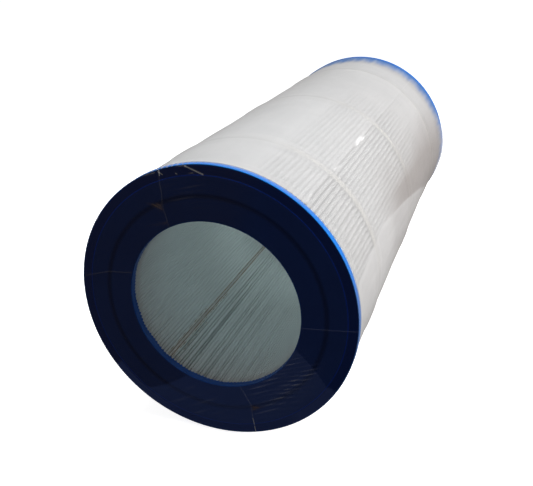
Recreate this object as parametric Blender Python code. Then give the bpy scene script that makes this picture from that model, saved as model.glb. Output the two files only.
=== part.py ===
"""Pleated pool filter cartridge with an open centre, lying on its side along Y.

A folded sheet of filter fabric stands between two moulded urethane end caps. Its free edges
are joined by one glued seam at the bore, and three straps round the pack keep the folds apart.
The cartridge is built upright about its own Z axis, then one empty lays it down: local +Z
becomes world +Y, and the front cap faces world -Y. Metres throughout.
"""

import math

import bmesh
import bpy

# Driving dimensions
CAP_DIAMETER = 0.227
BORE_DIAMETER = 0.140
LENGTH = 0.547
PLEAT_COUNT = 156
STRAP_PLACES = (0.085, 0.2645, 0.444)  # middles of the straps, from the front cap's face

# End caps
CAP_FACETS = 96
CAP_PLATE = 0.0062  # thickness at the bore
CAP_RIM_HEIGHT = 0.0075
RAISED_FACE_RADIUS = 0.1055  # the seating face; a ledge lies outside it
LEDGE_DROP = 0.0010
LEDGE_SLOPE = 0.0004
GROOVE_RADIUS = 0.0897
GROOVE_WIDTH = 0.0018
GROOVE_DEPTH = 0.0012
EDGE_ROUND = 0.0010
LIP_WALL = 0.0015  # the rim's wall round the ends of the pleats

# Pleated sheet
SHEET_THICKNESS = 0.0006
TIP_RADIUS = 0.1116
INNER_TIP_RADIUS = 0.0702
OUTER_FOLD_WIDTH = 0.0027
INNER_FOLD_WIDTH = 0.0018
GAP = 0.0003  # kept between pieces that touch on the real cartridge

# Seam and straps
SEAM_AZIMUTH = math.radians(218)  # from straight up, towards +X
SEAM_THICKNESS = 0.0005
SEAM_DEPTH = 0.012
STRAP_WIDTH = 0.008
STRAP_THICKNESS = 0.0008
STRAP_FACETS = 96

CAP_RADIUS = CAP_DIAMETER / 2
BORE_RADIUS = BORE_DIAMETER / 2
PACK_LENGTH = LENGTH - 2 * (CAP_PLATE + GAP)
REST_HEIGHT = CAP_RADIUS * math.cos(math.pi / CAP_FACETS)  # a facet lies flat on the floor

BLUE_URETHANE = ("blue_urethane", (0.012, 0.110, 0.520), 0.38)
FILTER_FABRIC = ("filter_fabric", (0.800, 0.810, 0.800), 0.90)
CREAM_STRAP = ("cream_strap", (0.740, 0.720, 0.610), 0.55)
SEAM_ADHESIVE = ("seam_adhesive", (0.420, 0.330, 0.200), 0.50)


def clear_scene():
    for obj in list(bpy.data.objects):
        bpy.data.objects.remove(obj, do_unlink=True)


def material(spec):
    name, colour, roughness = spec
    made = bpy.data.materials.get(name) or bpy.data.materials.new(name)
    made.use_nodes = True
    shader = made.node_tree.nodes["Principled BSDF"]
    shader.inputs["Base Color"].default_value = (*colour, 1.0)
    shader.inputs["Roughness"].default_value = roughness
    shader.inputs["Metallic"].default_value = 0.0
    made.diffuse_color = (*colour, 1.0)
    return made


def add_piece(name, mesh_builder, spec, parent, smooth=False):
    """Makes one named object from a bmesh, with its material, under the cartridge's empty."""
    bmesh.ops.recalc_face_normals(mesh_builder, faces=mesh_builder.faces)
    mesh = bpy.data.meshes.new(name)
    mesh_builder.to_mesh(mesh)
    mesh_builder.free()
    if smooth:
        mesh.shade_smooth()
        mesh.set_sharp_from_angle(angle=math.radians(30))
    mesh.materials.append(material(spec))
    piece = bpy.data.objects.new(name, mesh)
    bpy.context.scene.collection.objects.link(piece)
    piece.parent = parent
    return piece


def turned(outline, facets):
    """Spins a closed outline of (radius, height) points about Z, with a facet centred on each axis."""
    builder = bmesh.new()
    start = math.pi / facets
    points = [
        builder.verts.new((r * math.cos(start), r * math.sin(start), z)) for r, z in outline
    ]
    edges = [builder.edges.new((a, b)) for a, b in zip(points, points[1:] + points[:1])]
    bmesh.ops.spin(
        builder,
        geom=points + edges,
        cent=(0, 0, 0),
        axis=(0, 0, 1),
        angle=2 * math.pi,
        steps=facets,
        use_merge=True,
    )
    return builder


def quarter_round(centre_r, centre_z, radius, from_angle, steps=2):
    """Points of a quarter circle that starts at from_angle and turns clockwise."""
    return [
        (
            centre_r + radius * math.cos(from_angle - k * math.pi / 2 / steps),
            centre_z + radius * math.sin(from_angle - k * math.pi / 2 / steps),
        )
        for k in range(steps + 1)
    ]


def cap_outline():
    """The end cap's section, with the seating face at height 0 and the pack above it."""
    ledge = LEDGE_DROP + LEDGE_SLOPE
    lip_radius = CAP_RADIUS - LIP_WALL
    bore_edge = quarter_round(BORE_RADIUS + EDGE_ROUND, EDGE_ROUND, EDGE_ROUND, -math.pi / 2)
    rim_edge = quarter_round(CAP_RADIUS - EDGE_ROUND, ledge + EDGE_ROUND, EDGE_ROUND, 0)
    return [
        *bore_edge,
        (BORE_RADIUS, CAP_PLATE),
        (lip_radius, CAP_PLATE),
        (lip_radius, CAP_RIM_HEIGHT),
        (CAP_RADIUS, CAP_RIM_HEIGHT),
        *rim_edge,
        (RAISED_FACE_RADIUS, LEDGE_DROP),
        (RAISED_FACE_RADIUS, 0),
        (GROOVE_RADIUS + GROOVE_WIDTH / 2, 0),
        (GROOVE_RADIUS, GROOVE_DEPTH),
        (GROOVE_RADIUS - GROOVE_WIDTH / 2, 0),
    ]


def make_cap(name, parent, end):
    """end is -1 for the front cap and +1 for the rear one, which is the same moulding turned over."""
    cap = add_piece(name, turned(cap_outline(), CAP_FACETS), BLUE_URETHANE, parent, smooth=True)
    cap.location.z = end * LENGTH / 2
    if end > 0:
        cap.rotation_euler.x = math.pi
    return cap


def polar(angle, radius, across=0.0):
    """A point at that radius along the angle, then moved across it, as for one side of a fold."""
    return (
        radius * math.cos(angle) - across * math.sin(angle),
        radius * math.sin(angle) + across * math.cos(angle),
    )


def sheet_sides():
    """The folded sheet seen from its end: its outward side and its bore side, point for point.

    The seam is at angle 0, where the sheet's two free edges stand side by side at the bore.
    """
    pitch = 2 * math.pi / PLEAT_COUNT
    edge = SEAM_THICKNESS / 2 + GAP
    outer_half = OUTER_FOLD_WIDTH / 2
    inner_half = INNER_FOLD_WIDTH / 2
    outward = [polar(0, INNER_TIP_RADIUS, edge)]
    boreward = [polar(0, INNER_TIP_RADIUS, edge + SHEET_THICKNESS)]
    for pleat in range(PLEAT_COUNT):
        tip = (pleat + 0.5) * pitch
        for side in (-1, 1):
            outward.append(polar(tip, TIP_RADIUS, side * outer_half))
            boreward.append(
                polar(tip, TIP_RADIUS - SHEET_THICKNESS, side * (outer_half - SHEET_THICKNESS))
            )
        if pleat == PLEAT_COUNT - 1:
            break
        valley = (pleat + 1) * pitch
        for side in (-1, 1):
            outward.append(
                polar(
                    valley,
                    INNER_TIP_RADIUS + SHEET_THICKNESS,
                    side * (inner_half - SHEET_THICKNESS),
                )
            )
            boreward.append(polar(valley, INNER_TIP_RADIUS, side * inner_half))
    outward.append(polar(0, INNER_TIP_RADIUS, -edge))
    boreward.append(polar(0, INNER_TIP_RADIUS, -edge - SHEET_THICKNESS))
    return outward, boreward


def make_pleated_sheet(parent):
    """One sheet, folded up and down all the way round, with square-cut ends."""
    outward, boreward = sheet_sides()
    builder = bmesh.new()
    levels = (-PACK_LENGTH / 2, PACK_LENGTH / 2)
    outer_rows = [[builder.verts.new((*p, z)) for p in outward] for z in levels]
    bore_rows = [[builder.verts.new((*p, z)) for p in boreward] for z in levels]
    (a0, a1), (b0, b1) = outer_rows, bore_rows
    for i in range(len(outward) - 1):
        builder.faces.new((a0[i], a0[i + 1], a1[i + 1], a1[i]))
        builder.faces.new((b0[i + 1], b0[i], b1[i], b1[i + 1]))
        builder.faces.new((a0[i + 1], a0[i], b0[i], b0[i + 1]))
        builder.faces.new((a1[i], a1[i + 1], b1[i + 1], b1[i]))
    for i in (0, -1):
        builder.faces.new((a0[i], a1[i], b1[i], b0[i]))
    sheet = add_piece("pleated_sheet", builder, FILTER_FABRIC, parent)
    sheet.rotation_euler.z = SEAM_AZIMUTH - math.pi / 2
    return sheet


def make_seam(parent):
    """The glue line between the sheet's two free edges, as long as the pack."""
    builder = bmesh.new()
    bmesh.ops.create_cube(builder, size=1)
    for vert in builder.verts:
        vert.co.x = INNER_TIP_RADIUS + (vert.co.x + 0.5) * SEAM_DEPTH
        vert.co.y *= SEAM_THICKNESS
        vert.co.z *= PACK_LENGTH
    seam = add_piece("side_seam", builder, SEAM_ADHESIVE, parent)
    seam.rotation_euler.z = SEAM_AZIMUTH - math.pi / 2
    return seam


def make_strap(name, parent, place):
    """A flat strap round the tips of the pleats, its middle at that place from the front face."""
    # The strap's facets come nearer to the axis than its corners, so the gap is kept at the facets.
    inner = (TIP_RADIUS + GAP) / math.cos(math.pi / STRAP_FACETS)
    outer = inner + STRAP_THICKNESS
    half = STRAP_WIDTH / 2
    outline = [(inner, -half), (inner, half), (outer, half), (outer, -half)]
    strap = add_piece(name, turned(outline, STRAP_FACETS), CREAM_STRAP, parent, smooth=True)
    strap.location.z = place - LENGTH / 2
    return strap


def main():
    clear_scene()
    axis = bpy.data.objects.new("cartridge_axis", None)
    bpy.context.scene.collection.objects.link(axis)
    axis.location = (0, 0, REST_HEIGHT)
    axis.rotation_euler.x = -math.pi / 2
    make_cap("front_end_cap", axis, -1)
    make_cap("rear_end_cap", axis, 1)
    make_pleated_sheet(axis)
    make_seam(axis)
    for name, place in zip(("front_strap", "middle_strap", "rear_strap"), STRAP_PLACES):
        make_strap(name, axis, place)


main()
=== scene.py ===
"""Looks of the pleated filter cartridge: castings, folded fabric, straps, glue and shrink film."""

import math

import bmesh
import bpy
import numpy as np
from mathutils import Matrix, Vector


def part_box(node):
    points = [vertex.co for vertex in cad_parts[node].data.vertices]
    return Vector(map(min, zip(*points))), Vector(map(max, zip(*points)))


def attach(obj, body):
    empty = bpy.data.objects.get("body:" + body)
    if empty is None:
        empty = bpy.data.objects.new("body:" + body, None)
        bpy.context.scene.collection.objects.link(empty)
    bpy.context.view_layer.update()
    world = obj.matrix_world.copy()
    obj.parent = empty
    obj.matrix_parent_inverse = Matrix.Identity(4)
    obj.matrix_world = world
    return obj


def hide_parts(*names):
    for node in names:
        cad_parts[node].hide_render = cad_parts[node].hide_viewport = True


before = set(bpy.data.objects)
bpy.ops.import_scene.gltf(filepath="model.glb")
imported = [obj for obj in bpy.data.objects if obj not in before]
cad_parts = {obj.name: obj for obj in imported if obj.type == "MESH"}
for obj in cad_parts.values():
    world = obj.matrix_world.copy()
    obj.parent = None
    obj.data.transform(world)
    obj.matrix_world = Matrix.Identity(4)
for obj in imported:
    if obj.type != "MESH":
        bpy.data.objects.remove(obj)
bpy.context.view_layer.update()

MM = 0.001

# ---------------------------------------------------------------- sizes, from the frame
CAP_LOW, CAP_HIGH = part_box("front_end_cap")
CAP_RADIUS = (CAP_HIGH[0] - CAP_LOW[0]) / 2
AXIS_Z = (CAP_HIGH[2] + CAP_LOW[2]) / 2
FRONT_Y = CAP_LOW[1]
REAR_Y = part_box("rear_end_cap")[1][1]
LENGTH = REAR_Y - FRONT_Y
STRAPS = ("front_strap", "middle_strap", "rear_strap")
STRAP_Y = [(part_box(name)[0][1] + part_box(name)[1][1]) / 2 for name in STRAPS]

# End caps
BORE_RADIUS = 70.0 * MM
CASTING_RADIUS = CAP_RADIUS + 0.20 * MM  # a little outside the corners of the frame's facets
RAISED_FACE_RADIUS = 105.5 * MM
GROOVE_RADIUS = 89.7 * MM
LEDGE_DROP = 0.3 * MM
FACE_INSET = 0.1 * MM  # how far the castings' faces lie inside the ends of the frame
EDGE_ROUND = 0.30 * MM
RIM_HEIGHT = 6.4 * MM
FLASH = 8.5 * MM  # how far urethane has crept up the tips of the pleats at the rear cap
BORE_WALL = 5.6 * MM  # of plain wall; urethane climbs the folds past it

# Folded sheet
PLEATS = 156
PITCH = 2 * math.pi / PLEATS
SEAM_AZIMUTH = math.radians(218)
TIP_RADIUS = 111.55 * MM
INNER_TIP_RADIUS = 70.25 * MM
SHEET_THICKNESS = 0.55 * MM
LOOSE_FOLDS = (  # inner folds that stand open: degrees round the axis, opening in mm, reach in cap radii
    (208, 0.40, 3.0),
    (205, 0.75, 1.8),
    (201, 0.25, 1.2),
    (196, 0.50, 1.9),
    (190, 0.60, 1.6),
    (184, 0.50, 1.5),
    (178, 0.50, 1.3),
    (171, 0.25, 0.8),
    (164, 0.45, 1.2),
    (158, 0.35, 1.0),
    (150, 0.20, 0.6),
    (213, 0.35, 1.0),
    (223, 0.25, 0.7),
    (228, 0.20, 0.5),
    (234, 0.25, 0.5),
    (243, 0.20, 0.4),
)

# Straps and film
STRAP_WIDTH = 8 * MM
STRAP_THICKNESS = 0.8 * MM
STRAP_LAPS = (246, 255, 264)  # where each strap laps over itself, in degrees
FILM_GAP = 0.12 * MM  # between the film and the castings' faces
FILM_ON_RIM = CASTING_RADIUS / MM + 0.14  # the film's radius, in millimetres
FILM_ON_PACK = 112.1
FILM_ON_STRAP = 112.95
UNDERSIDE = 150  # degrees; the looks of the film's loose side end here, underneath

# Camera, in metres from the middle of the front face
CAMERA_PLACE = (0.19410, -0.44535, 0.25785)
CAMERA_PITCH = math.radians(22.86)
CAMERA_HEADING = math.radians(18.71)
CAMERA_LENS = 48.095


# ---------------------------------------------------------------- shared helpers
def place(azimuth, radius, y, across=0.0):
    """Points round the cartridge's axis. Azimuth runs from straight up towards +X."""
    s, c = np.sin(azimuth), np.cos(azimuth)
    return np.stack(
        np.broadcast_arrays(radius * s + across * c, y, AXIS_Z + radius * c - across * s), axis=-1
    )


def smooth_step(x):
    x = np.clip(x, 0, 1)
    return x * x * (3 - 2 * x)


def bell(x, width):
    return np.exp(-((x / width) ** 2))


def waves(rng, x, count, length, falloff=1.0):
    """Smooth random curves over x, one row for each of count, of about unit height."""
    total = np.zeros((count,) + np.shape(x))
    for k in range(1, 5):
        height = rng.normal(size=(count, 1)) / k**falloff
        phase = rng.uniform(0, 2 * math.pi, (count, 1))
        total += height * np.sin(2 * math.pi * k * x / length + phase)
    return total / 1.2


def round_noise(rng, azimuth, lowest, highest):
    """A smooth random curve round the axis that closes on itself."""
    total = np.zeros_like(azimuth)
    for k in range(lowest, highest):
        total += rng.normal() / (k / lowest) ** 0.5 * np.cos(k * azimuth + rng.uniform(0, 6.28))
    return total / math.sqrt(highest - lowest)


def grid_faces(rows, cols, close_rows=False):
    """Four-cornered faces over rows of points, each row closed on itself."""
    ids = np.arange(rows * cols).reshape(rows, cols)
    ids = np.column_stack([ids, ids[:, 0]])
    if close_rows:
        ids = np.vstack([ids, ids[:1]])
    corners = (ids[:-1, :-1], ids[:-1, 1:], ids[1:, 1:], ids[1:, :-1])
    return np.stack(corners, axis=-1).reshape(-1, 4)


def mesh_object(name, points, faces, material, closed=True):
    mesh = bpy.data.meshes.new(name)
    mesh.from_pydata(points.reshape(-1, 3).tolist(), [], [list(f) for f in faces])
    if closed:
        builder = bmesh.new()
        builder.from_mesh(mesh)
        bmesh.ops.recalc_face_normals(builder, faces=builder.faces)
        builder.to_mesh(mesh)
        builder.free()
    mesh.shade_smooth()
    mesh.materials.append(material)
    piece = bpy.data.objects.new(name, mesh)
    bpy.context.scene.collection.objects.link(piece)
    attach(piece, "root")
    return piece


def tube_faces(rows, cols):
    """A grid closed round its columns, with a face on each end."""
    sides = grid_faces(rows, cols).tolist()
    return sides + [list(range(cols)), list(range((rows - 1) * cols, rows * cols))]


def store(piece, name, values):
    """Keeps one number for each point of the mesh, for the material to read."""
    layer = piece.data.attributes.new(name, "FLOAT", "POINT")
    layer.data.foreach_set("value", np.ascontiguousarray(values, dtype=np.float32).ravel())


# ---------------------------------------------------------------- material helpers
class Nodes:
    """Short ways to add and join a material's nodes."""

    def __init__(self, name):
        self.material = bpy.data.materials.new(name)
        self.material.use_nodes = True
        self.tree = self.material.node_tree
        self.shader = self.tree.nodes["Principled BSDF"]

    def link(self, source, target):
        if isinstance(source, bpy.types.NodeSocket):
            self.tree.links.new(source, target)
        else:
            target.default_value = source

    def set(self, **values):
        for name, value in values.items():
            self.link(value, self.shader.inputs[name.replace("_", " ")])

    def node(self, kind, **settings):
        made = self.tree.nodes.new(kind)
        for name, value in settings.items():
            setattr(made, name, value)
        return made

    def where(self):
        """The point in metres, in the cartridge's own frame."""
        return self.node("ShaderNodeTexCoord").outputs["Object"]

    def axes(self):
        """That point's X, Y and Z."""
        split = self.node("ShaderNodeSeparateXYZ")
        self.link(self.where(), split.inputs[0])
        return split.outputs

    def math(self, operation, a, b=0.0):
        made = self.node("ShaderNodeMath", operation=operation)
        for socket, value in zip(made.inputs, (a, b)):
            self.link(value, socket)
        return made.outputs[0]

    def fade(self, value, start, end, low=0.0, high=1.0):
        """Runs smoothly from low to high as value goes from start to end."""
        made = self.node("ShaderNodeMapRange", interpolation_type="SMOOTHSTEP")
        for name, v in (
            ("Value", value),
            ("From Min", start),
            ("From Max", end),
            ("To Min", low),
            ("To Max", high),
        ):
            self.link(v, made.inputs[name])
        return made.outputs[0]

    def stretched(self, scale):
        made = self.node("ShaderNodeMapping")
        self.link(self.where(), made.inputs["Vector"])
        made.inputs["Scale"].default_value = scale
        return made.outputs[0]

    def noise(self, scale, detail=3.0, vector=None, distortion=0.0):
        made = self.node("ShaderNodeTexNoise")
        self.link(vector or self.where(), made.inputs["Vector"])
        made.inputs["Scale"].default_value = scale
        made.inputs["Detail"].default_value = detail
        made.inputs["Distortion"].default_value = distortion
        return made.outputs["Fac"]

    def mix(self, share, a, b):
        made = self.node("ShaderNodeMix", data_type="RGBA")
        self.link(share, made.inputs["Factor"])
        self.link(a, made.inputs["A"])
        self.link(b, made.inputs["B"])
        return made.outputs["Result"]

    def bump(self, height, distance, strength=1.0, normal=None):
        made = self.node("ShaderNodeBump")
        made.inputs["Distance"].default_value = distance
        made.inputs["Strength"].default_value = strength
        self.link(height, made.inputs["Height"])
        if normal is not None:
            self.link(normal, made.inputs["Normal"])
        return made.outputs["Normal"]

    def radius(self):
        """Distance from the cartridge's axis, in metres."""
        point = self.axes()
        z = self.math("SUBTRACT", point["Z"], float(AXIS_Z))
        squares = self.math("ADD", self.math("POWER", point["X"], 2.0), self.math("POWER", z, 2.0))
        return self.math("SQRT", squares)

    def across_from(self, azimuth):
        """Signed distance in metres from the half plane at that azimuth."""
        point = self.axes()
        x = self.math("MULTIPLY", point["X"], math.cos(azimuth))
        z = self.math("SUBTRACT", point["Z"], float(AXIS_Z))
        return self.math("SUBTRACT", x, self.math("MULTIPLY", z, math.sin(azimuth)))

    def attribute(self, name):
        return self.node("ShaderNodeAttribute", attribute_name=name).outputs["Fac"]


def rgb(r, g, b):
    return (r, g, b, 1.0)


def urethane_material():
    """Cast urethane: deep navy in the mass, with painted light and shade: a lit bright blue on the rim's lip
    and the bore wall, a highlight on the step, and shade in the groove, on the ledge and on the rear lip.
    """
    n = Nodes("cast_urethane")
    radius = n.radius()
    lip = n.fade(radius, CASTING_RADIUS - 1.1 * MM, CASTING_RADIUS - 0.2 * MM)
    bore = n.fade(radius, BORE_RADIUS + 0.9 * MM, BORE_RADIUS + 0.1 * MM)
    step = n.fade(n.math("ABSOLUTE", n.math("SUBTRACT", radius, RAISED_FACE_RADIUS)), 0.6 * MM, 0.2 * MM)
    groove = n.fade(n.math("ABSOLUTE", n.math("SUBTRACT", radius, GROOVE_RADIUS)), 3.2 * MM, 0.2 * MM)
    cloud = n.noise(28.0, 4.0, distortion=0.4)
    mass = n.mix(cloud, rgb(0.014, 0.043, 0.205), rgb(0.022, 0.066, 0.285))
    # painted shade: darker in the groove
    mass = n.mix(n.math("MULTIPLY", groove, 0.6), mass, rgb(0.005, 0.012, 0.060))
    # painted shade: the ledge outside the raised face darker
    ledge_shade = n.fade(radius, RAISED_FACE_RADIUS + 0.3 * MM, RAISED_FACE_RADIUS + 1.2 * MM)
    mass = n.mix(n.math("MULTIPLY", ledge_shade, 0.7), mass, rgb(0.003, 0.026, 0.200))
    # painted light: a lit, bright blue copy of the urethane for the rim's lip
    lit_rim_blue = n.mix(cloud, rgb(0.006, 0.160, 0.590), rgb(0.009, 0.190, 0.650))
    # painted shade: the lip darker towards the rear cap
    lit_rim_blue = n.mix(n.fade(n.axes()["Y"], 0.0, 0.1), lit_rim_blue, rgb(0.006, 0.125, 0.470))
    # painted light: a lit, brighter blue for the bore wall
    wall = n.mix(cloud, rgb(0.012, 0.070, 0.330), rgb(0.016, 0.090, 0.400))
    # painted highlight: a bright blue line round the step of the raised face
    colour = n.mix(n.math("MULTIPLY", step, 0.7), mass, rgb(0.006, 0.075, 0.680))
    colour = n.mix(lip, colour, lit_rim_blue)
    colour = n.mix(bore, colour, wall)
    grain = n.noise(900.0, 2.0)
    n.set(
        Base_Color=colour,
        Roughness=n.fade(cloud, 0.2, 0.8, 0.34, 0.46),
        Normal=n.bump(grain, 0.03 * MM, 0.5),
    )
    n.shader.inputs["IOR"].default_value = 1.27
    return n.material


def fabric_material():
    """Spun-bonded polyester: matt white, fine fibres, glue stain beside the seam."""
    n = Nodes("spun_fabric")
    fibres = n.noise(1.0, 4.0, n.stretched((1400.0, 260.0, 1400.0)), 0.6)
    cross = n.noise(1.0, 3.0, n.stretched((420.0, 1500.0, 420.0)), 0.8)
    cloud = n.noise(22.0, 3.0)
    base = n.mix(cloud, rgb(0.775, 0.785, 0.785), rgb(0.845, 0.850, 0.840))
    base = n.mix(n.fade(fibres, 0.35, 0.75, 0.0, 0.07), base, rgb(0.60, 0.62, 0.62))
    off = n.math("ABSOLUTE", n.across_from(SEAM_AZIMUTH))
    near = n.fade(n.math("ADD", off, n.math("MULTIPLY", n.noise(90.0, 3.0), 3.5 * MM)), 5.2 * MM, 1.8 * MM)
    inside = n.fade(n.radius(), 80 * MM, 71 * MM)
    along = n.axes()["Y"]
    deep = n.fade(along, FRONT_Y + 80 * MM, FRONT_Y + 150 * MM, 0.34, 0.12)
    stain = n.math("MULTIPLY", n.math("MULTIPLY", near, inside), deep)
    base = n.mix(stain, base, rgb(0.62, 0.42, 0.33))
    wick = n.math("SUBTRACT", n.noise(1.0, 2.0, n.stretched((75.0, 6.0, 75.0))), 0.5)
    wick = n.math("ADD", along, n.math("MULTIPLY", wick, 22 * MM))
    rear_soak = n.fade(wick, REAR_Y - 45 * MM, REAR_Y - 12 * MM)
    soak = n.math("MAXIMUM", rear_soak, n.fade(wick, FRONT_Y + 9 * MM, FRONT_Y + 5 * MM))
    outside = n.fade(n.radius(), 84 * MM, 96 * MM)
    base = n.mix(n.math("MULTIPLY", soak, outside), base, rgb(0.030, 0.140, 0.540))
    fine = n.bump(fibres, 0.015 * MM, 0.5)
    n.set(
        Base_Color=base,
        Roughness=n.fade(cross, 0.3, 0.7, 0.82, 0.95),
        Normal=n.bump(cross, 0.015 * MM, 0.5, fine),
    )
    n.shader.inputs["Specular IOR Level"].default_value = 0.25
    n.shader.inputs["Sheen Weight"].default_value = 0.15
    n.shader.inputs["Sheen Roughness"].default_value = 0.6
    return n.material


def strap_material():
    """Cream woven tape with a fine weave."""
    n = Nodes("cream_tape")
    wave = n.node("ShaderNodeTexWave", bands_direction="Y")
    n.link(n.where(), wave.inputs["Vector"])
    wave.inputs["Scale"].default_value = 420.0
    wave.inputs["Distortion"].default_value = 1.5
    cloud = n.noise(60.0, 3.0)
    threads = n.noise(1600.0, 2.0)
    base = n.mix(cloud, rgb(0.830, 0.815, 0.760), rgb(0.885, 0.870, 0.820))
    base = n.mix(n.fade(wave.outputs["Fac"], 0.0, 1.0, 0.0, 0.10), base, rgb(0.62, 0.60, 0.50))
    fine = n.bump(threads, 0.04 * MM, 0.6)
    n.set(
        Base_Color=base,
        Roughness=n.fade(threads, 0.3, 0.7, 0.55, 0.75),
        Normal=n.bump(wave.outputs["Fac"], 0.05 * MM, 0.5, fine),
    )
    return n.material


def glue_material():
    """Amber-brown adhesive, glossy and uneven."""
    n = Nodes("amber_glue")
    cloud = n.noise(160.0, 4.0)
    n.set(
        Base_Color=n.mix(cloud, rgb(0.31, 0.215, 0.14), rgb(0.47, 0.36, 0.26)),
        Roughness=n.fade(cloud, 0.3, 0.7, 0.25, 0.5),
        Normal=n.bump(n.noise(700.0, 2.0), 0.05 * MM, 0.5),
    )
    return n.material


def film_material(name, thin_milk, thick_milk):
    """Clear shrink film: it mirrors at glancing angles, and is milky where it is loose or creased; painted
    highlights whiten its creases and glints, and painted shade greys it in places.
    """
    n = Nodes(name)
    glance = n.node("ShaderNodeFresnel")
    glance.inputs["IOR"].default_value = 1.42
    crease_and_glint = n.attribute("crease_and_glint")
    scorch = n.attribute("scorch")
    painted_shade_and_haze = n.attribute("painted_shade_and_haze")
    haze = n.noise(30.0, 4.0, distortion=0.5)
    crinkle = n.noise(1.0, 5.0, n.stretched((260.0, 120.0, 260.0)), 0.5)
    normal = n.bump(crinkle, 0.03 * MM, 0.4)
    n.link(normal, glance.inputs["Normal"])
    mirror = n.math("MULTIPLY", glance.outputs[0], n.attribute("mirror"))
    veil = n.math("MULTIPLY", n.attribute("veil"), n.fade(haze, 0.2, 0.8, 0.95, 1.05))
    milky = n.math("MINIMUM", n.math("ADD", veil, crease_and_glint), 1.0)
    milky = n.math("MAXIMUM", milky, n.math("MULTIPLY", scorch, 0.6))
    both = n.math("ADD", n.math("ADD", mirror, milky), 0.0001)
    colour = n.mix(haze, thin_milk, thick_milk)
    colour = n.mix(n.attribute("blue"), colour, rgb(0.080, 0.225, 0.55))
    # painted shade: warm grey where the film darkens, and over the cap's faint haze
    colour = n.mix(painted_shade_and_haze, colour, rgb(0.34, 0.295, 0.275))
    # painted highlight: white on creases and glints
    colour = n.mix(n.math("MULTIPLY", crease_and_glint, 2.5), colour, rgb(0.98, 0.985, 0.99))
    n.set(
        Base_Color=n.mix(n.math("MULTIPLY", scorch, 2.5), colour, rgb(0.46, 0.31, 0.22)),
        Metallic=n.math("DIVIDE", mirror, both),
        Roughness=n.fade(crinkle, 0.2, 0.8, 0.31, 0.41),
        Normal=normal,
        Alpha=n.math("SUBTRACT", both, n.math("MULTIPLY", mirror, milky)),
    )
    return n.material


# ---------------------------------------------------------------- end caps
def arc(centre_r, centre_h, radius, start, end, steps):
    turns = [start + (end - start) * k / steps for k in range(steps + 1)]
    return [(centre_r + radius * math.cos(a), centre_h + radius * math.sin(a)) for a in turns]


def straight(a, b, steps):
    """Points from a up to, but without, b."""
    return [tuple(np.add(a, np.subtract(b, a) * k / steps)) for k in range(steps)]


def cap_profile():
    """The casting's section as (radius, height above the seating face), all in millimetres."""
    drop, turn = LEDGE_DROP / MM, EDGE_ROUND / MM
    bore, rim = BORE_RADIUS / MM, CASTING_RADIUS / MM
    raised, groove = RAISED_FACE_RADIUS / MM, GROOVE_RADIUS / MM
    wall, lip = BORE_WALL / MM, RIM_HEIGHT / MM
    quarter = math.pi / 2
    notch = [(groove + 1.8 * k, 0.3 * (0.5 + 0.5 * math.cos(math.pi * k))) for k in np.linspace(-1, 1, 11)]
    return [
        *straight((bore, wall - 0.3), (bore, 0.5), 6),
        *arc(bore + 0.5, 0.5, 0.5, 2 * quarter, 3 * quarter, 5),
        *straight((bore + 1.5, 0), (groove - 1.9, 0), 5),
        *notch,
        *straight((groove + 2.0, 0), (raised - 0.6, 0), 5),
        *arc(raised - 0.2, 0.2, 0.2, -quarter, 0, 3),
        *arc(raised + 0.15, drop - 0.15, 0.10, 2 * quarter, quarter, 2),
        *straight((raised + 0.5, drop - 0.04), (rim - 0.8, drop), 4),
        *arc(rim - turn, drop + turn, turn, -quarter, 0, 5),
        *straight((rim, 3.0), (rim, lip - 0.6), 4),
        *arc(rim - 0.5, lip - 0.5, 0.5, 0, quarter, 3),
        *straight((rim - 1.2, lip - 0.15), (rim - 2.2, lip - 0.5), 2),
        *straight((rim - 3, lip - 0.6), (bore + 1.2, wall + 0.15), 8),
        *arc(bore + 0.4, wall - 0.3, 0.4, quarter, 2 * quarter, 2)[:-1],
    ]


def make_cap(name, node, end, material, seed):
    """end is -1 for the front cap, +1 for the rear. Urethane creeps up between the folds."""
    rng = np.random.default_rng(seed)
    steps = PLEATS * 7
    azimuth = np.arange(steps) * 2 * math.pi / steps
    profile = np.array(cap_profile()) * MM
    radius = profile[:, :1] + 0 * azimuth
    height = profile[:, 1:] + 0 * azimuth
    fold = (azimuth - SEAM_AZIMUTH) / PITCH
    creep = 0.5 + 0.5 * np.cos(2 * math.pi * (fold - 0.5))
    amount = rng.uniform(0.25, 1.0, PLEATS)
    amount = amount[np.floor(fold).astype(int) % PLEATS]
    teeth = creep**1.5 * amount
    slow = round_noise(rng, azimuth, 3, 22)
    near_bore = smooth_step((height - 2.4 * MM) / (BORE_WALL - 2.4 * MM)) * (radius < BORE_RADIUS + 6 * MM)
    height = height + near_bore * (1.5 * teeth + 0.7 * slow + 0.4) * MM
    under_folds = (radius > BORE_RADIUS + 6 * MM) * (radius < CASTING_RADIUS - 1.0 * MM)
    packed = (profile[:, 1:] > 4.8 * MM) * under_folds
    height = height + packed * (0.5 * (creep - 0.5) + 0.12 * slow) * MM
    if end > 0:
        climb = 0.82 + 0.10 * teeth + 0.12 * round_noise(rng, azimuth, 8, 60)
        on_lip = (profile[:, 1:] > 5 * MM) * (radius > CASTING_RADIUS - 2.6 * MM)
        height = height + on_lip * FLASH * climb
        radius = radius + 0.55 * slack(azimuth) * (radius > CASTING_RADIUS - 2.6 * MM)
    on_face = profile[:, 1:] < 0.2 * MM
    height = height + on_face * 0.05 * MM * round_noise(rng, azimuth, 2, 9)
    middle = FRONT_Y if end < 0 else REAR_Y
    points = place(azimuth, radius, middle - end * (height + FACE_INSET))
    faces = grid_faces(*points.shape[:2], close_rows=True)
    cap = mesh_object(name, points, faces, material)
    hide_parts(node)


# ---------------------------------------------------------------- folded sheet
def along_pack(rows):
    """Places along the axis, closer together near the caps, from inside one cap to inside the other."""
    t = np.linspace(0, 1, rows)
    t = t - 0.04 * np.sin(2 * math.pi * t)
    start, end = FRONT_Y + 3.6 * MM, REAR_Y - 3.6 * MM
    return start + (end - start) * t


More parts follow.
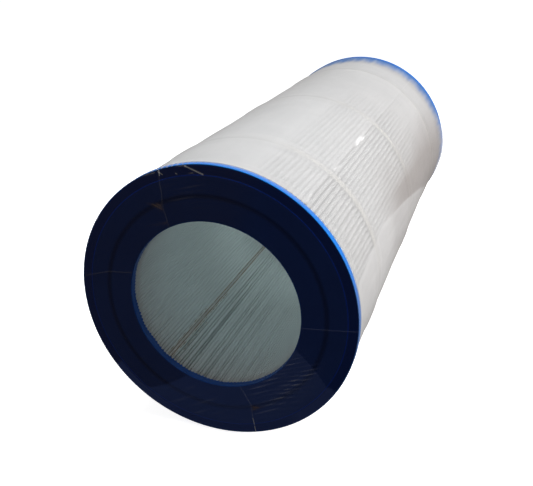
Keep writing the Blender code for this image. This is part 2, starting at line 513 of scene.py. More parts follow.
def sheet_centreline(rng, y):
    """The sheet's middle surface: rows along the axis by points along the folds, in X and Z."""
    quiet = np.ones_like(y)
    for held in (*STRAP_Y, FRONT_Y + RIM_HEIGHT, REAR_Y - RIM_HEIGHT):
        quiet = quiet * (1 - 0.75 * bell(y - held, 16 * MM))
    span = 1.3 * LENGTH

    def wander(size):
        own = waves(rng, y, PLEATS, span)
        shared = own + np.roll(own, 1, axis=0) + np.roll(own, -1, axis=0)
        return (own * 0.55 + shared * 0.4) * size * quiet + rng.normal(size=(PLEATS, 1)) * size * 0.5

    tip_angle = SEAM_AZIMUTH + (np.arange(PLEATS)[:, None] + 0.5) * PITCH
    valley_angle = SEAM_AZIMUTH + (np.arange(PLEATS)[:, None] + 1.0) * PITCH
    tip_shift = np.clip(wander(0.30 * MM), -0.8 * MM, 0.8 * MM)
    valley_shift = np.clip(wander(0.02 * MM), -0.02 * MM, 0.02 * MM)
    tip_radius = TIP_RADIUS - np.clip(np.abs(wander(0.22 * MM)), 0, 0.8 * MM)
    valley_radius = INNER_TIP_RADIUS + np.clip(np.abs(wander(0.02 * MM)), 0, 0.08 * MM)
    tip_half = (1.12 + 0.10 * rng.normal(size=(PLEATS, 1))) * MM
    depth = (y - FRONT_Y) / CAP_RADIUS
    valley_half = (1.130 - 0.01 * rng.random((PLEATS, 1))) * MM + 0 * y
    for degrees, opening, reach in LOOSE_FOLDS:
        fold = round((math.radians(degrees) - SEAM_AZIMUTH) / PITCH - 1) % PLEATS
        narrowing = 1.35 - 1.15 * smooth_step(depth / reach - 0.3)
        valley_half[fold] -= opening * narrowing * (1 + 0.2 * np.sin(depth * 5 + degrees)) * MM
    bulge = wander(0.16 * MM)

    def ring(angle, radius, across):
        p = place(angle, radius, 0 * radius, across)
        return p[..., 0], p[..., 2]

    edge = 0.42 * MM
    columns = [ring(SEAM_AZIMUTH + 0 * y, INNER_TIP_RADIUS + 0.1 * MM + 0 * y, edge + 0 * y)]
    for i in range(PLEATS):
        angle, shift, half = tip_angle[i], tip_shift[i], tip_half[i]
        columns.append(
            ring(angle - 0.27 * PITCH, 0.5 * (tip_radius[i] + INNER_TIP_RADIUS), bulge[i] + 0.5 * shift)
        )
        for turn in np.radians((-90, -52, 0, 52, 90)):
            columns.append(
                ring(angle, tip_radius[i] - 1.3 * MM * (1 - np.cos(turn)), shift + half * np.sin(turn))
            )
        columns.append(
            ring(angle + 0.27 * PITCH, 0.5 * (tip_radius[i] + INNER_TIP_RADIUS), bulge[i] + 0.5 * shift)
        )
        if i == PLEATS - 1:
            break
        angle, shift, half = valley_angle[i], valley_shift[i], valley_half[i]
        for turn in np.radians((-90, -58, 58, 90)):
            columns.append(
                ring(angle, valley_radius[i] + 0.15 * MM * (1 - np.cos(turn)), shift + half * np.sin(turn))
            )
    columns.append(ring(SEAM_AZIMUTH + 0 * y, INNER_TIP_RADIUS + 0.1 * MM + 0 * y, -edge + 0 * y))
    return np.array(columns).transpose(2, 0, 1)


def make_sheet(material):
    """One sheet, folded all the way round, with its two free edges side by side at the seam."""
    rng = np.random.default_rng(11)
    y = along_pack(28)
    middle = sheet_centreline(rng, y)
    ahead = np.empty_like(middle)
    ahead[:, 1:-1] = middle[:, 2:] - middle[:, :-2]
    ahead[:, 0] = middle[:, 1] - middle[:, 0]
    ahead[:, -1] = middle[:, -1] - middle[:, -2]
    ahead /= np.linalg.norm(ahead, axis=2, keepdims=True)
    normal = np.stack([-ahead[..., 1], ahead[..., 0]], axis=-1)
    outer = middle + normal * SHEET_THICKNESS / 2
    inner = middle - normal * SHEET_THICKNESS / 2
    loop = np.concatenate([outer, inner[:, ::-1]], axis=1)
    rows, cols = loop.shape[:2]
    points = np.empty((rows, cols, 3))
    points[..., 0] = loop[..., 0]
    points[..., 1] = y[:, None]
    points[..., 2] = loop[..., 1]
    faces = grid_faces(rows, cols).tolist()
    for first in (0, (rows - 1) * cols):
        for i in range(cols // 2 - 1):
            a, b = first + i, first + cols - 1 - i
            faces.append([a, a + 1, b - 1, b])
    sheet = mesh_object("folded_sheet", points, faces, material)
    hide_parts("pleated_sheet")


# ---------------------------------------------------------------- straps
def strap_section():
    """A flat tape with rounded edges, as (offset along the axis, height), in metres."""
    w, t = STRAP_WIDTH / 2, STRAP_THICKNESS / 2
    right = [(w - t + t * math.cos(a), t * math.sin(a)) for a in np.radians((-60, -20, 20, 60))]
    left = [(-x, -h) for x, h in right]
    top = [(x * w, t) for x in (0.7, 0.2, -0.3, -0.75)]
    under = [(-x, -t) for x, _ in top]
    return np.array(right + top + left + under)


def make_strap(name, node, y, lap_azimuth, material, seed):
    rng = np.random.default_rng(seed)
    section = strap_section()
    steps = PLEATS * 4
    azimuth = np.arange(steps) * 2 * math.pi / steps
    skew = 0.45 * MM * np.sin(azimuth + rng.uniform(0, 6.28))
    skew = skew + 0.12 * MM * round_noise(rng, azimuth, 4, 20)
    settle = 0.07 * MM * np.cos(PLEATS * (azimuth - SEAM_AZIMUTH))
    settle = settle + 0.03 * MM * round_noise(rng, azimuth, 9, 40)
    base = TIP_RADIUS + 0.30 * MM + STRAP_THICKNESS / 2
    points = place(
        azimuth[:, None], base - settle[:, None] + section[:, 1], y + skew[:, None] + section[:, 0]
    )
    faces = grid_faces(*points.shape[:2], close_rows=True).tolist()
    lap = np.linspace(-1, 1, 30)
    lap_at = lap_azimuth + lap * 0.11
    lap_skew = np.interp(lap_at % (2 * math.pi), azimuth, skew) + 0.3 * MM
    lap_height = base + STRAP_THICKNESS * 0.86 - 0.25 * MM * smooth_step((lap - 0.8) / 0.2)
    over = place(
        lap_at[:, None],
        lap_height[:, None] + section[:, 1] * 0.8,
        y + lap_skew[:, None] + section[:, 0],
    )
    start = points.shape[0] * points.shape[1]
    faces += [[start + i for i in f] for f in tube_faces(*over.shape[:2])]
    everything = np.concatenate([points.reshape(-1, 3), over.reshape(-1, 3)])
    strap = mesh_object(name, everything, faces, material)
    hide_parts(node)


# ---------------------------------------------------------------- glue at the side seam
def bead(rng, azimuth, start, end, width, height, radius):
    """A run of squeezed-out glue along the axis, of uneven width, as points and faces."""
    rows, cols = 170, 10
    y = np.linspace(start, end, rows)
    swell = 1 + 0.35 * waves(rng, y, 1, 90 * MM, 0.3)[0] + 0.25 * waves(rng, y, 1, 24 * MM, 0.2)[0]
    swell = np.clip(swell, 0.35, 1.9) * np.sqrt(np.clip(np.minimum(y - start, end - y) / (4 * MM), 0.01, 1))
    drift = 0.35 * MM * waves(rng, y, 1, 300 * MM)[0]
    turn = np.arange(cols) * 2 * math.pi / cols
    across = drift[:, None] + width / 2 * swell[:, None] * np.cos(turn)
    r = radius + height * (0.6 + 0.4 * swell[:, None]) * np.sin(turn)
    return place(azimuth, r, y[:, None], across), tube_faces(rows, cols)


def make_seam(material):
    rng = np.random.default_rng(5)
    start, end = FRONT_Y + 6.2 * MM, REAR_Y - 6.2 * MM
    length = end - start
    edge = 1.15 * MM / BORE_RADIUS
    runs = [
        (SEAM_AZIMUTH - edge, start, end, 0.80, 0.30, 70.4),
        (SEAM_AZIMUTH + edge, start, end, 0.65, 0.30, 70.4),
        (SEAM_AZIMUTH + 1.02 * PITCH, start, start + 0.16 * length, 0.6, 0.3, 70.3),
        (SEAM_AZIMUTH - 0.98 * PITCH, start, start + 0.24 * length, 0.7, 0.3, 70.3),
        (SEAM_AZIMUTH - 2.0 * PITCH, start, start + 0.13 * length, 0.6, 0.3, 70.3),
        (SEAM_AZIMUTH - 3.0 * PITCH, start, start + 0.10 * length, 0.5, 0.3, 70.3),
    ]
    points, faces, first = [], [], 0
    for azimuth, low, high, width, height, radius in runs:
        p, f = bead(rng, azimuth, low, high, width * MM, height * MM, radius * MM)
        points.append(p.reshape(-1, 3))
        faces += [[first + i for i in face] for face in f]
        first += len(points[-1])
    seam = mesh_object("seam_glue", np.concatenate(points), faces, material)
    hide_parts("side_seam")


# ---------------------------------------------------------------- shrink film
# Pinched seams of the film on the front face, from bore to rim: (degrees, share of the cap's radius)
FILM_SEAMS = (
    ((-74.0, 0.62), (-79.0, 0.80), (-85.0, 1.0)),
    ((-28.2, 0.62), (-26.4, 0.727), (-25.2, 0.788), (-23.3, 0.844), (-22.4, 0.904), (-20.4, 1.0)),
    ((94.3, 0.62), (92.0, 0.80), (90.3, 1.0)),
    ((162.6, 0.62), (161.2, 0.678), (159.8, 0.776), (161.3, 0.871), (162.4, 1.0)),
)
PUCKERS = (  # film gathered beside a seam: corners of a wedge, as for the seams
    ((-27.9, 0.638), (-39.8, 0.701), (-27.4, 0.664)),
    ((-26.6, 0.720), (-33.6, 0.839), (-25.2, 0.788)),
    ((159.8, 0.774), (152.8, 0.808), (160.8, 0.834)),
)
# Each of these folds also gets a painted white highlight.
CREASE_GLINTS = (  # short sharp folds near the rim: two ends, how white, width in mm
    ((-9.4, 0.991), (-2.4, 0.935), 0.75, 0.50),
    ((-21.1, 0.989), (-19.6, 0.961), 0.60, 0.35),
    ((-20.3, 1.0), (-20.9, 0.961), 0.60, 0.35),
    ((-14.0, 0.952), (-13.4, 0.946), 0.60, 0.40),
    ((-8.4, 0.942), (-6.5, 0.944), 0.40, 0.30),
    ((-13.0, 0.998), (-9.0, 0.990), 0.40, 0.40),
    ((-28.0, 0.998), (-22.5, 0.988), 0.35, 0.45),
    ((161.4, 0.885), (161.7, 0.930), 0.30, 0.40),
    ((162.0, 0.950), (162.3, 0.990), 0.35, 0.40),
)
# The fans' ridges also get a painted white highlight, stronger with depth.
FAN = (  # wrinkles: heading, middle and spread in degrees, cap's radii from and to, pitch and depth in mm
    (67.0, 127.0, 14.0, 0.60, 0.89, 3.4, 0.50),
    (63.0, 145.0, 14.0, 0.60, 0.92, 4.6, 0.38),
    (73.0, -12.0, 9.0, 0.68, 0.94, 4.0, 0.22),
    (62.0, 190.0, 20.0, 0.66, 0.95, 7.0, 0.14),
)
LAP_AZIMUTH = 37.5  # the film's own lengthwise weld
GLINTS = (  # sparkles on the weld: place, degrees off it, reach, how white
    (0.15, 0.2, 0.05, 0.30),
    (0.24, -0.4, 0.03, 0.30),
    (0.87, 0.2, 0.06, 0.35),
    (0.95, 0.9, 0.04, 0.20),
    (1.72, -0.3, 0.10, 0.70),
    (1.80, 0.8, 0.06, 0.70),
    (1.62, 0.5, 0.06, 0.55),
)
LOOSE_EDGE = (  # where the clinging film ends: place along the axis in cap's radii, degrees
    (0.0, 76.0),
    (1.06, 71.7),
    (1.93, 78.3),
    (2.3, 81.7),
    (3.0, 90.0),
    (3.5, 98.3),
    (4.3, 113.0),
)


def face_point(degrees, share):
    turn = math.radians(degrees)
    return CAP_RADIUS * share * math.sin(turn), CAP_RADIUS * share * math.cos(turn)


def line_distance(x, z, path):
    """Distance of points of the face from a run of straight lines."""
    best = np.full(np.shape(x), 1.0)
    corners = [face_point(*corner) for corner in path]
    for (ax, az), (bx, bz) in zip(corners, corners[1:]):
        dx, dz = bx - ax, bz - az
        t = np.clip(((x - ax) * dx + (z - az) * dz) / (dx * dx + dz * dz), 0, 1)
        best = np.minimum(best, np.hypot(x - ax - t * dx, z - az - t * dz))
    return best


def inside_wedge(x, z, corners):
    """How deep each point lies inside a triangle, in metres, and its distance from the first edge."""
    points = [face_point(*corner) for corner in corners]
    depths = []
    for (ax, az), (bx, bz) in zip(points, points[1:] + points[:1]):
        length = math.hypot(bx - ax, bz - az)
        depths.append(((x - ax) * (bz - az) - (z - az) * (bx - ax)) / length)
    depths = np.array(depths)
    (ax, az), (bx, bz), (cx, cz) = points
    turn = math.copysign(1.0, (cx - ax) * (bz - az) - (cz - az) * (bx - ax))
    return (depths * turn).min(axis=0), depths[0] * turn


def away_from(degrees, middle):
    return (degrees - middle + 180) % 360 - 180


def fan_wrinkles(x, z, degrees, share):
    """Height in metres and painted highlight of the loose film's fans of wrinkles."""
    height = np.zeros(np.shape(x))
    white = np.zeros(np.shape(x))
    for heading, middle, spread, low, high, pitch, depth in FAN:
        h = math.radians(heading)
        beside = x * math.cos(h) - z * math.sin(h)
        along = x * math.sin(h) + z * math.cos(h)
        warp = 1.6 * MM * np.sin(along / (17 * MM) + 2)
        warp = warp + 0.7 * MM * np.sin(along / (8.3 * MM) + beside / (7 * MM))
        wave = np.sin((beside + warp) * 2 * math.pi / (pitch * MM))
        second = np.sin((beside * 1.7 - warp) * 2 * math.pi / (pitch * MM) + 1.0)
        patchy = 0.5 + 0.5 * np.sin(along / (7.3 * MM) + beside / (2.9 * MM) + middle)
        ridge = np.clip(0.15 + wave * 0.6 + second * 0.3, 0, 1) ** 1.5 * (0.35 + 0.65 * patchy)
        window = bell(away_from(degrees, middle), spread)
        window = window * smooth_step((share - low) / 0.05) * smooth_step((high - share) / 0.06)
        height = height + ridge * window * depth * MM
        # painted highlight on the wrinkles' ridges
        white = white + ridge**1.5 * window * 0.68 * depth
    return height, white


def face_veil(degrees, share):
    """Faint milkiness where the film lies loose or double over the cap's face, a painted floor reflection on
    the low ledge, and the plain haze.
    """
    low = away_from(degrees, 163)
    double = smooth_step((low + 47.5 - 31 * (share - 0.80)) / 0.8)
    double = double * smooth_step((46.8 + 47 * (share - 0.80) - low) / 0.8)
    step = smooth_step((share - 0.932) / 0.008)
    # painted reflection: a lighter band on the low part of the ledge
    floor_reflection_on_ledge = step * smooth_step((away_from(degrees, 176) + 57) / 0.8)
    floor_reflection_on_ledge = floor_reflection_on_ledge * smooth_step((57 - away_from(degrees, 176)) / 0.8)
    ends = 0.095 + 0.08 * smooth_step((np.abs(away_from(degrees, 172)) - 22) / 12)
    haze = smooth_step((40 - np.abs(away_from(degrees, -75) / 2.6)) / 8) * (1 - double) * (1 - floor_reflection_on_ledge)
    return 0.001 + np.maximum(0.115 * double, floor_reflection_on_ledge * ends) + 0.026 * haze * (1 + 0.6 * step), haze


def face_film(name, end, azimuth, radii, material, seed, creased):
    """The film over one cap's face, out to the rim's corner."""
    rng = np.random.default_rng(seed)
    az, r = azimuth[None, :], radii[:, None]
    x, z = r * np.sin(az), r * np.cos(az)
    degrees, share = np.degrees(az) + 0 * r, r / CAP_RADIUS + 0 * az
    slope = np.clip((r - RAISED_FACE_RADIUS) / (CASTING_RADIUS - 0.8 * MM - RAISED_FACE_RADIUS), 0, 1)
    height = LEDGE_DROP * slope + 0 * az
    lift = 0.10 * MM * round_noise(rng, azimuth, 3, 14)[None, :] ** 2
    lift = lift * np.clip((r - BORE_RADIUS) / (20 * MM), 0, 1)
    turned = degrees if creased else degrees + 70
    ripples, crease_and_glint = fan_wrinkles(x, z, turned, share)
    lift = lift + ripples
    scorch = np.zeros_like(height)
    mirrored = 1 if creased else -1
    for path in FILM_SEAMS:
        off = line_distance(x * mirrored, z, path)
        lift = lift + 0.40 * MM * bell(off, 0.6 * MM)
        crease_and_glint = crease_and_glint + 0.19 * bell(off, 0.32 * MM)
    for corners in PUCKERS if creased else ():
        inside, beside = inside_wedge(x, z, corners)
        fill = smooth_step(inside / (1.6 * MM))
        rib = 0.5 + 0.5 * np.cos(beside / MM * 3.2)
        edge = bell(inside, 0.35 * MM)
        lift = lift + fill * rib * 0.5 * MM
        scorch = scorch + fill * (0.26 + 0.42 * rib) + 0.16 * edge
    # painted highlight: white along these folds
    for first, last, white, width in CREASE_GLINTS if creased else ():
        off = line_distance(x, z, (first, last))
        lift = lift + 0.30 * MM * bell(off, width * MM)
        crease_and_glint = crease_and_glint + white * bell(off, width * MM)
    side = -1 if end < 0 else 1
    middle = FRONT_Y if end < 0 else REAR_Y
    taut = bell(r - radii[0], 1.2 * MM)
    y = middle - side * height + side * (lift * (1 - taut) + FILM_GAP - FACE_INSET)
    if end > 0:
        r = r + slack(az) * smooth_step((r - radii[-1]) / (5 * MM) + 1)
    points = place(az, r, y)
    faces = grid_faces(*points.shape[:2])
    if end > 0:
        faces = faces[:, ::-1]
    film = mesh_object(name, points, faces, material, closed=False)
    store(film, "crease_and_glint", np.clip(crease_and_glint, 0, 1))
    store(film, "scorch", np.clip(scorch, 0, 1))
    veil, haze = face_veil(turned, share)
    store(film, "veil", veil)
    store(film, "painted_shade_and_haze", haze)
    store(film, "blue", 0 * height)
    store(film, "mirror", 0.6 + 0 * height)


def slack(azimuth):
    """How far the film stands off the rear cap, where it was not pulled tight."""
    return 3.4 * MM * bell(away_from(np.degrees(azimuth), 93), 25)


def side_veil(degrees, depth):
    """How closely the film round the pack clings to the folds, from 0 to 1, and how much painted shade and
    reflection lie on it.
    """
    edge = np.interp(depth, *zip(*LOOSE_EDGE))
    cling = smooth_step((degrees - 11) / 9) * (0.5 + 0.5 * smooth_step((degrees - LAP_AZIMUTH + 1) / 2))
    cling = cling * smooth_step((edge - degrees) / 1.2)
    cling = cling * (1 - 0.80 * smooth_step((degrees - 62) / 12) * smooth_step((depth - 0.9) / 0.8))
    cling = cling * (1 - 0.85 * smooth_step((depth - 2.4) / 1.3))
    behind = smooth_step((95 - np.abs(away_from(degrees, -133))) / 12)
    turn = np.radians(degrees)
    patches = 0.5 + 0.5 * np.sin(turn * 4 + 1.3 * np.sin(depth * 1.7)) * np.cos(depth * 1.3 + 1)
    cling = np.maximum(cling, behind * smooth_step((patches - 0.25) / 0.4))
    before = edge - degrees
    reach = np.interp(depth, (1.5, 2.0, 2.7, 3.7, 4.3), (15, 18, 28, 56, 68))
    # painted reflection: a dark band beside the loose edge, fading away from it
    painted_shade_and_haze = smooth_step(before / 0.7) * np.clip(1.2 * (1 - before / reach), 0, 0.66)
    painted_shade_and_haze = painted_shade_and_haze * smooth_step((depth - 0.9) / 1.2)
    # painted shade: greyer on the right side, further back
    shade_right = 0.24 * smooth_step((degrees - 40) / 25) * smooth_step((depth - 1.0) / 0.8) * (degrees < UNDERSIDE)
    shade = 0.09 * smooth_step((2 - degrees) / 25) * smooth_step(depth - 0.5)
    shade = shade + 0.11 * smooth_step((depth - 0.9) / 2.4)
    return cling, np.maximum(painted_shade_and_haze, np.maximum(shade_right, shade))


def film_levels():
    """The film's radius along the axis, over the rims and the straps, as (y, radius)."""
    top, resting = FILM_ON_RIM, FILM_ON_PACK
    corner = ((0.3, top - 0.45), (0.45, top - 0.14), (0.8, top))
    over_front = (*corner, (6.3, top), (7.2, top - 0.10), (21.0, resting))
    over_strap = ((-15, resting), (-4.9, FILM_ON_STRAP), (4.9, FILM_ON_STRAP), (15, resting))
    over_rear = (*corner, (16.5, top), (18.0, top - 0.14), (30.0, resting))
    knots = [(FRONT_Y + a * MM, level * MM) for a, level in over_front]
    for y in STRAP_Y:
        knots += [(y + a * MM, level * MM) for a, level in over_strap]
    knots += [(REAR_Y - a * MM, level * MM) for a, level in reversed(over_rear)]
    return knots


def side_relief(rng, az, y, level, degrees, depth, cling):
    """The radius of the film round the pack, and how creased it is, with painted highlights on the weld and
    its glints.
    """
    free = smooth_step((113.2 * MM - level) / (1.0 * MM))[:, None]
    gap = 0.5 - 0.5 * np.cos(PLEATS * (az - SEAM_AZIMUTH) + math.pi)
    dip = 0.12 * MM * gap * free * cling
    slow = np.zeros_like(depth)
    for k in (5, 9, 13, 21):
        along = waves(rng, y, 1, 500 * MM)[0][:, None]
        slow = slow + 0.16 * MM * along * np.cos(k * az + rng.uniform(0, 6.28))
    crinkle = np.zeros_like(depth)
    for k, w in ((40, 17), (57, -23), (88, 31), (31, -9)):
        crinkle = crinkle + 0.02 * MM * np.sin(k * az + y[:, None] / (w * MM) + rng.uniform(0, 6.28))
    weld = away_from(degrees, LAP_AZIMUTH)
    ridge = 0.10 * MM * bell(weld, 0.35) * free
    # painted highlight: white along the weld and on its glints
    crease_and_glint = 0.04 * bell(weld, 0.3) * free
    for where, off, reach, white in GLINTS:
        spot = bell(depth - where, reach) * bell(weld - off, 0.7 if reach > 0.09 else 0.45)
        ridge = ridge + 0.15 * MM * spot * free
        crease_and_glint = crease_and_glint + white * spot
    # painted highlight: white crinkles near the front rim, with no relief of their own
    gather = bell(degrees + 19, 9.0) * bell(depth, 0.13)
    pinch = np.sin(degrees * 2.9 + depth * 40) + 0.4 * np.sin(degrees * 7.1)
    crease_and_glint = crease_and_glint + gather * 0.45 * np.clip(pinch, 0, 1)
    on_edge = smooth_step(1 - np.abs(np.interp(depth, *zip(*LOOSE_EDGE)) - degrees + 1.0) / 2.5)
    ridge = ridge + 0.12 * MM * on_edge * free
    ridge = ridge + slack(az) * smooth_step((depth - 3.9) / 0.8)
    for middle, lap in zip(STRAP_Y, STRAP_LAPS):
        over = smooth_step((8.0 - np.abs(away_from(degrees, lap))) / 1.6)
        on_strap = smooth_step((8.0 * MM - np.abs(y - middle)) / (3.0 * MM))[:, None]
        ridge = ridge + 0.50 * MM * over * on_strap
    radius = level[:, None] - dip + (np.abs(slow) + crinkle * (1 - 0.6 * cling)) * free + ridge
    return radius, np.clip(crease_and_glint, 0, 1)


def side_looks(rng, azimuth, y, degrees, depth, cling, painted_shade_and_haze):
    """How milky, blue, painted-shaded and mirrored the film round the pack is."""
    off_rim = smooth_step((depth - 0.053) / 0.008) * smooth_step((4.76 - depth) / 0.10)
    # milky film over the rim, with painted shade, on the right side
    rim_haze_and_shade = 0.16 * smooth_step((degrees - 58) / 16) + 0.28 * smooth_step((degrees - 70) / 14)
    rim_haze_and_shade = rim_haze_and_shade * np.where(depth < 1, 1.0, smooth_step((degrees - 72) / 12)) * (degrees < UNDERSIDE)
    on_strap = sum(smooth_step((4.1 * MM - np.abs(y - middle)) / MM) for middle in STRAP_Y)[:, None]
    tight = 0.38 + 0.08 * smooth_step((depth - 0.55) / 0.4)
    veil = (tight + (0.75 - tight) * (1 - cling) + 0.05 * painted_shade_and_haze) * (1 - 0.42 * on_strap) * off_rim
    veil = veil + rim_haze_and_shade * (1 - off_rim)
    painted_shade_and_haze = np.maximum(painted_shade_and_haze, (rim_haze_and_shade > 0) * (1 - off_rim))
    wick = 0.035 * round_noise(rng, azimuth, 24, 110)[None, :]
    wick = wick + 0.03 * round_noise(rng, azimuth, 3, 12)[None, :]
    late = 0.06 * smooth_step((degrees + 12) / 15) + 0.03 * smooth_step((degrees - 35) / 20)
    blue = smooth_step((depth - 4.34 - late + wick) / 0.30) * (1 - 0.25 * smooth_step((degrees - 62) / 25))
    near_front = smooth_step((0.078 - depth) / 0.022) * smooth_step((degrees - 30) / 25)
    blue = np.maximum(blue, 0.9 * near_front * (degrees < UNDERSIDE))
    # painted shade: greyer at the rear end, most on the right
    rear_shade = 0.30 * smooth_step((depth - 4.20) / 0.30)
    rear_shade = rear_shade + 0.35 * smooth_step((degrees - 62) / 14) * (depth > 4)
    painted_shade_and_haze = np.maximum(painted_shade_and_haze, rear_shade * smooth_step((depth - 4.0) / 0.3))
    return {
        "veil": veil,
        "blue": blue,
        "painted_shade_and_haze": painted_shade_and_haze * (1 - 0.85 * blue),
        "mirror": 0.06 + 0.62 * off_rim * (1 - 0.8 * blue),
    }


def side_film(azimuth, material):
    """The film round the pack, taut over the rims and the straps, clinging to the folds in places."""
    rng = np.random.default_rng(23)
    places, levels = zip(*film_levels())
    steps = (-1.2, -0.5, 0.5, 1.2)
    fine = [FRONT_Y + (at + k * reach) * CAP_RADIUS for at, _, reach, _ in GLINTS for k in steps]
    y = np.unique(np.concatenate([places, fine, np.linspace(FRONT_Y + 8 * MM, REAR_Y - 8 * MM, 66)]))
    level = np.interp(y, places, levels)
    az, depth = azimuth[None, :], ((y - FRONT_Y) / CAP_RADIUS)[:, None]
    degrees = away_from(np.degrees(az) + 0 * depth, 0)
    depth = depth + 0 * az
    cling, painted_shade_and_haze = side_veil(degrees, depth)
    radius, crease_and_glint = side_relief(rng, az, y, level, degrees, depth, cling)
    points = place(az, radius, y[:, None] + 0 * az)
    faces = grid_faces(*points.shape[:2])[:, ::-1]
    film = mesh_object("film_round_pack", points, faces, material, closed=False)
    store(film, "crease_and_glint", crease_and_glint)
    store(film, "scorch", 0 * depth)
    for name, values in side_looks(rng, azimuth, y, degrees, depth, cling, painted_shade_and_haze).items():
        store(film, name, values)


def dense_azimuths(count, spots):
    """Azimuths round the circle, closer together at each spot: its degrees, spread and extra weight."""
    fine = np.linspace(0, 2 * math.pi, 7200, endpoint=False)
    weight = np.ones_like(fine)
    for degrees, spread, extra in spots:
        weight += extra * bell(away_from(np.degrees(fine), degrees), spread)
    total = np.concatenate([[0], np.cumsum(weight)])
    return np.interp(np.arange(count) * total[-1] / count, total, np.append(fine, 2 * math.pi))


def make_film():
    """The film in three pieces: over each cap's face, and round the pack."""
    side = film_material("clear_film", rgb(0.80, 0.81, 0.82), rgb(0.86, 0.865, 0.87))
    flat = film_material("clear_film_on_cap", rgb(0.24, 0.37, 1.0), rgb(0.28, 0.42, 1.0))
    spots = ((-79, 6, 2), (-28, 9, 5), (92, 4, 2), (159, 6, 4), (125, 20, 3), (-8, 10, 4))
    front = dense_azimuths(1500, spots)
    radii = np.linspace(BORE_RADIUS + 0.3 * MM, CASTING_RADIUS - EDGE_ROUND, 70)
    face_film("film_front_face", -1, front, radii, flat, 31, True)
    plain = np.arange(900) * 2 * math.pi / 900
    face_film("film_rear_face", 1, plain, radii[::2], flat, 37, False)
    spots = ((LAP_AZIMUTH, 2.5, 5), (-19, 9, 1.5), (85, 16, 0.6), (30, 50, 0.3))
    side_film(dense_azimuths(1500, spots), side)


# ---------------------------------------------------------------- studio
def make_camera():
    camera = bpy.data.objects.new("camera", bpy.data.cameras.new("camera"))
    camera.data.lens = CAMERA_LENS
    camera.data.sensor_width = 36
    camera.data.clip_start = 0.01
    x, y, z = CAMERA_PLACE
    camera.location = (x, FRONT_Y + y, AXIS_Z + z)
    ahead = Vector(
        (
            -math.sin(CAMERA_HEADING) * math.cos(CAMERA_PITCH),
            math.cos(CAMERA_HEADING) * math.cos(CAMERA_PITCH),
            -math.sin(CAMERA_PITCH),
        )
    )
    camera.rotation_euler = ahead.to_track_quat("-Z", "Y").to_euler()
    bpy.context.scene.collection.objects.link(camera)
    bpy.context.scene.camera = camera


def area_light(name, place_at, aim, size, power, colour=(1, 1, 1)):
    light = bpy.data.lights.new(name, "AREA")
    light.shape = "DISK"
    light.size = size
    light.energy = power
    light.color = colour
    lamp = bpy.data.objects.new(name, light)
    lamp.location = place_at
    lamp.rotation_euler = (Vector(aim) - Vector(place_at)).to_track_quat("-Z", "Y").to_euler()
    lamp.visible_camera = False
    bpy.context.scene.collection.objects.link(lamp)
    return lamp


def inside_light(name, y, power, colour):
    """Light inside the bore, for what comes through the thin fabric from all round."""
    light = bpy.data.lights.new(name, "POINT")
    light.energy = power
    light.color = colour
    light.shadow_soft_size = 30 * MM
    lamp = bpy.data.objects.new(name, light)
    lamp.location = (0, y, AXIS_Z)
    lamp.visible_camera = False
    lamp.visible_glossy = False
    bpy.context.scene.collection.objects.link(lamp)


def make_floor():
    builder = bmesh.new()
    bmesh.ops.create_circle(builder, cap_ends=True, radius=12, segments=96)
    mesh = bpy.data.meshes.new("floor")
    builder.to_mesh(mesh)
    builder.free()
    n = Nodes("pale_floor")
    n.set(Base_Color=n.mix(n.noise(3.0), rgb(0.90, 0.90, 0.90), rgb(0.93, 0.93, 0.93)), Roughness=0.9)
    n.shader.inputs["Specular IOR Level"].default_value = 0.1
    n.shader.inputs["Emission Color"].default_value = (1, 1, 1, 1)
    n.shader.inputs["Emission Strength"].default_value = 0.86
    mesh.materials.append(n.material)
    floor = bpy.data.objects.new("floor", mesh)
    floor.location.z = -0.0004
    floor.visible_diffuse = False
    floor.visible_glossy = False
    floor.visible_shadow = False
    bpy.context.scene.collection.objects.link(floor)


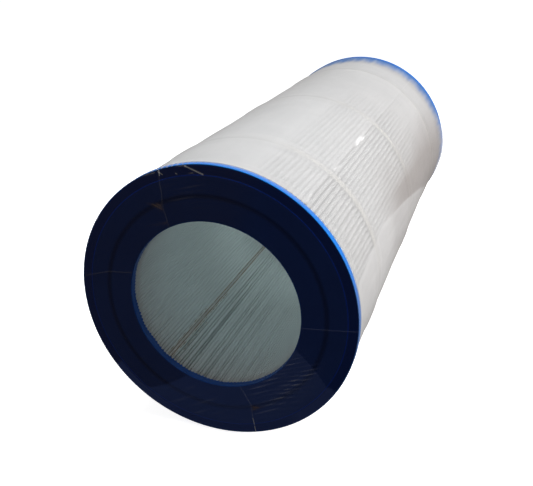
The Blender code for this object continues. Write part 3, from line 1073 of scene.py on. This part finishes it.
def make_world():
    """A soft tent of light, brighter above and behind the cartridge."""
    world = bpy.data.worlds.new("studio")
    bpy.context.scene.world = world
    world.use_nodes = True
    tree = world.node_tree
    tree.nodes.clear()
    made = tree.nodes.new
    join = tree.links.new
    coord = made("ShaderNodeTexCoord")
    toward = made("ShaderNodeVectorMath")
    toward.operation = "DOT_PRODUCT"
    join(coord.outputs["Generated"], toward.inputs[0])
    toward.inputs[1].default_value = (0.0, 0.8, 0.6)
    ramp = made("ShaderNodeMapRange")
    ramp.interpolation_type = "SMOOTHSTEP"
    join(toward.outputs["Value"], ramp.inputs["Value"])
    for name, value in (("From Min", -0.1), ("From Max", 0.95), ("To Min", 0.087), ("To Max", 0.33)):
        ramp.inputs[name].default_value = value
    tent = made("ShaderNodeBackground")
    tent.inputs["Color"].default_value = (0.98, 0.960, 0.95, 1)
    join(ramp.outputs[0], tent.inputs["Strength"])
    plain = made("ShaderNodeBackground")
    plain.inputs["Strength"].default_value = 1.0
    seen = made("ShaderNodeLightPath")
    mix = made("ShaderNodeMixShader")
    join(seen.outputs["Is Camera Ray"], mix.inputs["Fac"])
    join(tent.outputs[0], mix.inputs[1])
    join(plain.outputs[0], mix.inputs[2])
    join(mix.outputs[0], made("ShaderNodeOutputWorld").inputs["Surface"])


def make_studio():
    make_floor()
    make_world()
    pack = (0, 0, AXIS_Z)
    key = area_light("key_right", (0.50, -0.08, 1.25), pack, 0.5, 12.6)
    side = area_light("key_left", (-0.45, -0.05, 1.25), pack, 0.5, 5.0, (0.98, 0.99, 1.0))
    back = area_light("key_back", (0.15, 0.95, 1.05), pack, 0.6, 1.2, (0.92, 0.99, 1.0))
    right = area_light("right_fill", (1.3, 0.15, 0.40), pack, 0.8, 10.4, (1.0, 0.967, 0.95))
    left = area_light("left_fill", (-1.3, 0.10, 0.40), pack, 0.7, 0.6)
    bounce = area_light("table_bounce", (0.85, -0.02, 0.03), pack, 0.45, 2.8, (1.0, 0.94, 0.905))
    for lamp in (key, side, back, right, left, bounce):
        lamp.visible_glossy = False
    area_light("front_fill", (-0.7, -1.5, 0.75), (0, FRONT_Y, AXIS_Z), 0.6, 0.46)
    glows = (
        (0.12, 0.0128, (0.65, 0.94, 1.0)),
        (0.37, 0.0235, (0.75, 0.985, 1.0)),
        (0.62, 0.0105, (0.70, 0.99, 1.0)),
        (0.87, 0.0104, (0.88, 1.0, 1.0)),
    )
    for number, (share, power, colour) in enumerate(glows):
        inside_light(f"bore_glow_{number}", FRONT_Y + share * LENGTH, power, colour)
    bpy.context.scene.view_settings.view_transform = "Standard"


# ---------------------------------------------------------------- the cartridge
make_camera()
urethane = urethane_material()
make_cap("front_cap_casting", "front_end_cap", -1, urethane, 3)
make_cap("rear_cap_casting", "rear_end_cap", 1, urethane, 4)
make_sheet(fabric_material())
cream = strap_material()
for seed, (strap_node, strap_y, lap) in enumerate(zip(STRAPS, STRAP_Y, STRAP_LAPS), 50):
    make_strap(f"{strap_node}_tape", strap_node, strap_y, math.radians(lap), cream, seed)
make_seam(glue_material())
make_film()
make_studio()
